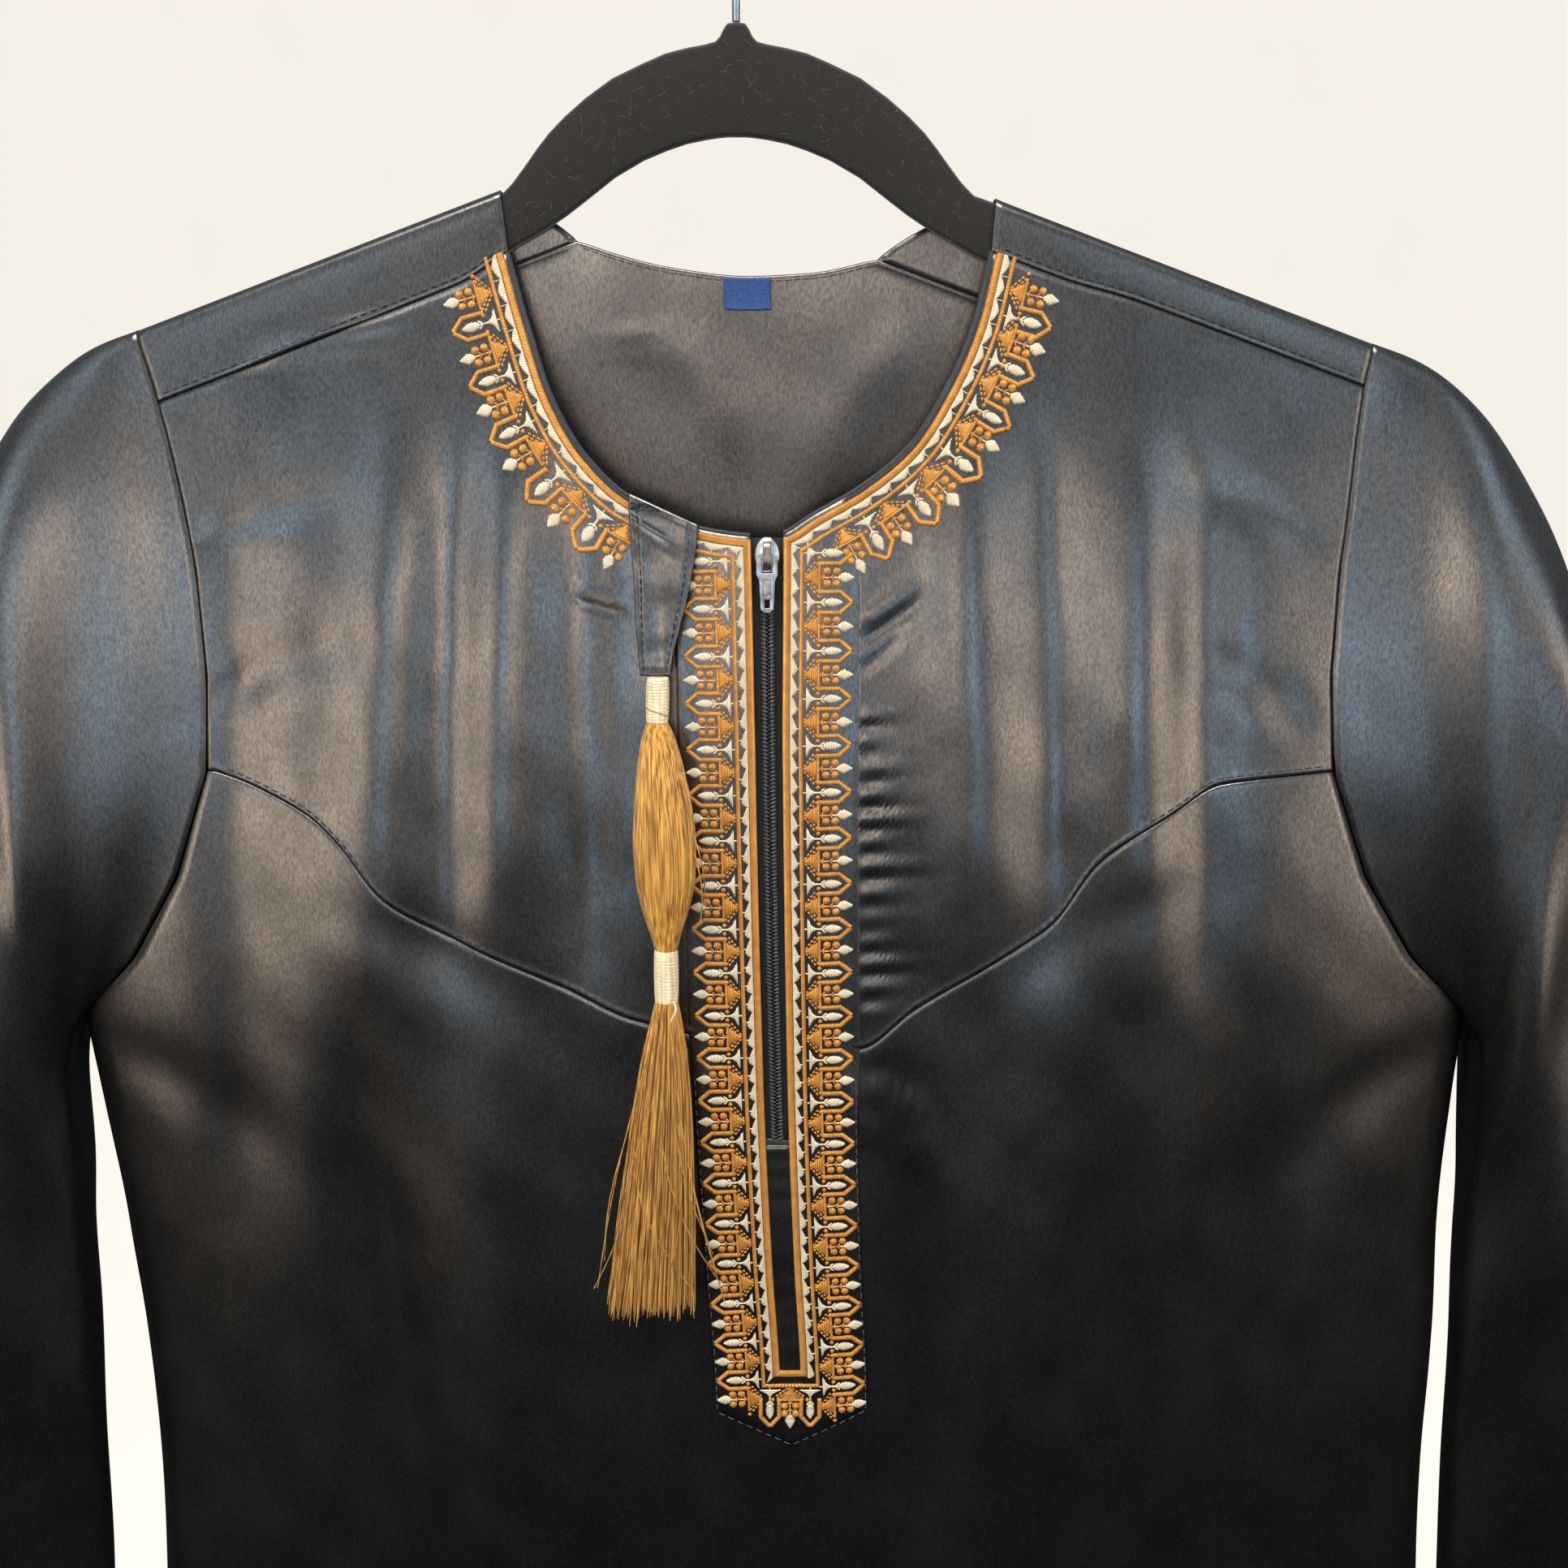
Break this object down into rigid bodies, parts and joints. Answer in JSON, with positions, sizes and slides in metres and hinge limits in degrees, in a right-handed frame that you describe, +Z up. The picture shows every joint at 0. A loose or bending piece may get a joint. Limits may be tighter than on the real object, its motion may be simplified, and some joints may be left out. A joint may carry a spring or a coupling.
{
  "type": "thobe on a clothes hanger",
  "caption": "Long satin thobe with a round neck, embroidered zip placket and tassel, hung flat on a slim flocked hanger with a steel hook.",
  "frame": {"origin": "inside top of the hanger's hook, where it rests on a rail", "axes": "+Z up along the hanging garment, -Y out of the garment's front, +X to the right of someone who looks at the front"},
  "size_m": [0.8466, 0.1278, 1.4719],
  "materials": {
    "satin": "charcoal satin weave with a soft sheen",
    "zip_tape": "black woven tape",
    "zip_coil": "black nylon coil",
    "zip_metal": "dark satin nickel plate",
    "cream_thread": "cream rayon thread, bound tight",
    "gold_thread": "gold rayon thread with a bright sheen",
    "label": "blue woven label, bare",
    "flock": "black flock on a moulded core",
    "steel": "bright steel wire"
  },
  "bodies": {
    "garment": {"front_upper_left": "satin", "front_upper_right": "satin", "front_lower": "satin", "back": "satin", "shoulder_yoke_left": "satin", "shoulder_yoke_right": "satin", "sleeve_left": "satin", "sleeve_right": "satin", "placket": "satin", "tassel_tab": "satin", "zip_tape": "zip_tape", "zip_chain": "zip_coil", "zip_slider": "zip_metal", "tassel_wrap_upper": "cream_thread", "tassel_wrap_lower": "cream_thread", "tassel_bulb": "gold_thread", "tassel_skirt": "gold_thread", "neck_label": "label", "hanger_body": "flock", "hanger_hook": "steel"},
    "zip_pull": {"zip_pull": "zip_metal"}
  },
  "joints": [
    {"name": "zip_pull_hinge", "type": "hinge", "parent": "garment", "child": "zip_pull", "pos_m": [0.01083, -0.02743, -0.2722], "axis": [-1, 0, 0], "range_deg": [0, 165]}
  ]
}
